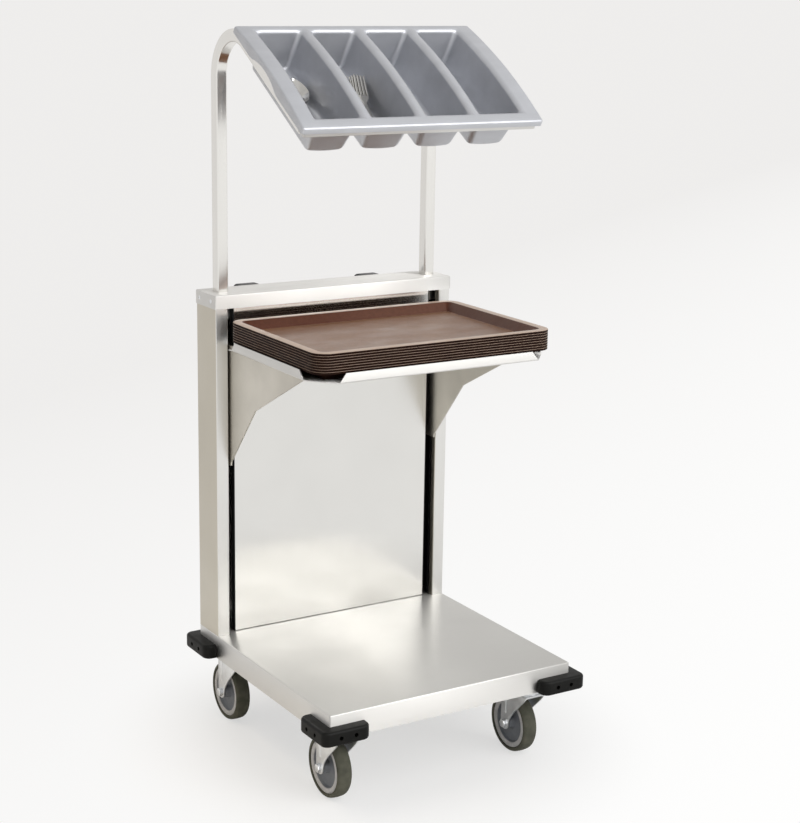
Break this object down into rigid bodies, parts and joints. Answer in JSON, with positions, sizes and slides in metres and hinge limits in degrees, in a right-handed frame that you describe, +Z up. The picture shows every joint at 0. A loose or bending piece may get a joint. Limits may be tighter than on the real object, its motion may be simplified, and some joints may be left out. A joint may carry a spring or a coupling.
{
  "type": "tray and cutlery trolley",
  "caption": "Wheeled stainless trolley with a sprung tray shelf on a rear column, nested brown trays, a sloping cutlery bin on bent posts, corner bumpers and swivel casters.",
  "frame": {"origin": "middle of the overall box at floor level, under the wheels", "axes": "+X to the right seen from the front, +Y to the back where the column and push handle are, +Z up"},
  "size_m": [0.605, 0.6464, 1.46],
  "materials": {
    "satin_steel": "satin brushed stainless sheet",
    "bright_steel": "bright polished stainless sheet",
    "zinc": "zinc plated pressings and bolts",
    "bumper_rubber": "matt black moulded rubber",
    "screw_black": "blackened screws",
    "tyre_rubber": "matt dark grey rubber",
    "hub_plastic": "matt grey moulding",
    "edge_rubber": "matt black edging",
    "guide_plastic": "matt black plastic",
    "carriage_paint": "matt black paint",
    "bin_plastic": "satin grey moulding with a fine grain",
    "cutlery_steel": "polished stainless",
    "tray_laminate": "dark brown grained laminate",
    "bracket_plastic": "matt black moulding"
  },
  "bodies": {
    "trolley": {"base_platform": "satin_steel", "underframe": "satin_steel", "bumper_fl": "bumper_rubber", "bumper_fr": "bumper_rubber", "bumper_rl": "bumper_rubber", "bumper_rr": "bumper_rubber", "bumper_screws": "screw_black", "caster_plate_fl": "zinc", "caster_plate_fr": "zinc", "caster_plate_rl": "zinc", "caster_plate_rr": "zinc", "column_left": "satin_steel", "column_right": "satin_steel", "front_panel": "bright_steel", "slot_trims": "edge_rubber", "rear_cover": "satin_steel", "column_cap": "satin_steel", "cap_screws": "zinc", "guide_left": "guide_plastic", "guide_right": "guide_plastic", "spring_beam": "satin_steel", "spring_left": "zinc", "spring_right": "zinc", "post_left": "satin_steel", "post_right": "satin_steel", "cutlery_frame": "satin_steel", "handle_brackets": "bracket_plastic", "handle_bar": "satin_steel"},
    "lift": {"carriage": "carriage_paint", "guide_shoes": "guide_plastic", "gusset_left": "satin_steel", "gusset_right": "satin_steel", "shelf": "satin_steel"},
    "tray_stack": {"tray_1": "tray_laminate", "tray_2": "tray_laminate", "tray_3": "tray_laminate", "tray_4": "tray_laminate", "tray_5": "tray_laminate", "tray_6": "tray_laminate", "tray_7": "tray_laminate"},
    "top_tray": {"tray_8": "tray_laminate"},
    "bin": {"cutlery_bin": "bin_plastic", "spoons": "cutlery_steel", "forks": "cutlery_steel"},
    "caster_fl": {"caster_fork_fl": "zinc", "caster_axle_fl": "zinc"},
    "wheel_fl": {"wheel_hub_fl": "hub_plastic", "wheel_tyre_fl": "tyre_rubber"},
    "caster_fr": {"caster_fork_fr": "zinc", "caster_axle_fr": "zinc"},
    "wheel_fr": {"wheel_hub_fr": "hub_plastic", "wheel_tyre_fr": "tyre_rubber"},
    "caster_rl": {"caster_fork_rl": "zinc", "caster_axle_rl": "zinc"},
    "wheel_rl": {"wheel_hub_rl": "hub_plastic", "wheel_tyre_rl": "tyre_rubber"},
    "caster_rr": {"caster_fork_rr": "zinc", "caster_axle_rr": "zinc"},
    "wheel_rr": {"wheel_hub_rr": "hub_plastic", "wheel_tyre_rr": "tyre_rubber"}
  },
  "joints": [
    {"name": "lift_slide", "type": "slide", "parent": "trolley", "child": "lift", "axis": [0, 0, 1], "range_m": [-0.35, 0], "stiffness_N_per_m": 1000, "springref_m": 0.22, "deforming": ["spring_left", "spring_right"]},
    {"name": "tray_stack_lift", "type": "slide", "parent": "lift", "child": "tray_stack", "axis": [0, 0, 1], "range_m": [0, 0.12]},
    {"name": "top_tray_lift", "type": "slide", "parent": "tray_stack", "child": "top_tray", "axis": [0, 0, 1], "range_m": [0, 0.15]},
    {"name": "bin_lift", "type": "slide", "parent": "trolley", "child": "bin", "axis": [0, -0.5299, 0.848], "range_m": [0, 0.12]},
    {"name": "caster_fl_swivel", "type": "hinge", "parent": "trolley", "child": "caster_fl", "pos_m": [-0.218, -0.23425, 0.15], "axis": [0, 0, 1], "continuous": true},
    {"name": "wheel_fl_spin", "type": "hinge", "parent": "caster_fl", "child": "wheel_fl", "pos_m": [-0.218, -0.19625, 0.0625], "axis": [1, 0, 0], "continuous": true},
    {"name": "caster_fr_swivel", "type": "hinge", "parent": "trolley", "child": "caster_fr", "pos_m": [0.218, -0.23425, 0.15], "axis": [0, 0, 1], "continuous": true},
    {"name": "wheel_fr_spin", "type": "hinge", "parent": "caster_fr", "child": "wheel_fr", "pos_m": [0.218, -0.19625, 0.0625], "axis": [1, 0, 0], "continuous": true},
    {"name": "caster_rl_swivel", "type": "hinge", "parent": "trolley", "child": "caster_rl", "pos_m": [-0.218, 0.19775, 0.15], "axis": [0, 0, 1], "continuous": true},
    {"name": "wheel_rl_spin", "type": "hinge", "parent": "caster_rl", "child": "wheel_rl", "pos_m": [-0.218, 0.23575, 0.0625], "axis": [1, 0, 0], "continuous": true},
    {"name": "caster_rr_swivel", "type": "hinge", "parent": "trolley", "child": "caster_rr", "pos_m": [0.218, 0.19775, 0.15], "axis": [0, 0, 1], "continuous": true},
    {"name": "wheel_rr_spin", "type": "hinge", "parent": "caster_rr", "child": "wheel_rr", "pos_m": [0.218, 0.23575, 0.0625], "axis": [1, 0, 0], "continuous": true}
  ]
}
